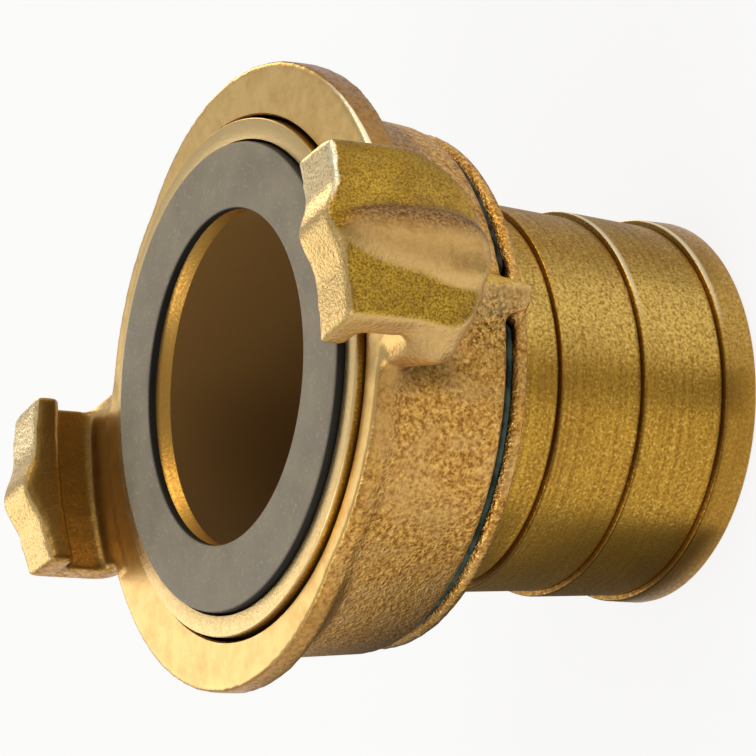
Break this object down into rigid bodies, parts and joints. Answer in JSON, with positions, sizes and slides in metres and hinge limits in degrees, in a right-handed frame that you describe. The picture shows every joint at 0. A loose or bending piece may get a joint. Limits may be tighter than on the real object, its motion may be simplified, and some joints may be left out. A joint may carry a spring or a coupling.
{
  "type": "claw swivel hose coupling",
  "caption": "Cast brass bayonet hose coupling half: a swivelling ring with hooked claws and spiral lobes on a barbed hose tail, with a rubber face seal and a retaining wire.",
  "frame": {"origin": "centre of the tail's hose end face, on the bore axis; the coupling stands on that end", "axes": "+Z along the bore from the hose end to the seal face, +X through the middle of the claw that has the wire lug behind it"},
  "size_m": [0.1006, 0.079, 0.0758],
  "materials": {
    "turned_brass": "cast and rough turned, dull gold with turning marks",
    "black_rubber": "moulded, matt, dusty dark grey",
    "cast_brass": "sand cast, grainy, with machined front face",
    "aged_wire": "drawn wire with green verdigris"
  },
  "bodies": {
    "tail": {"hose_tail": "turned_brass", "seal_ring": "black_rubber"},
    "ring": {"claw_ring": "cast_brass", "retaining_wire": "aged_wire"}
  },
  "joints": [
    {"name": "swivel", "type": "hinge", "parent": "tail", "child": "ring", "pos_m": [0, 0, 0.05], "axis": [0, 0, 1], "continuous": true}
  ]
}
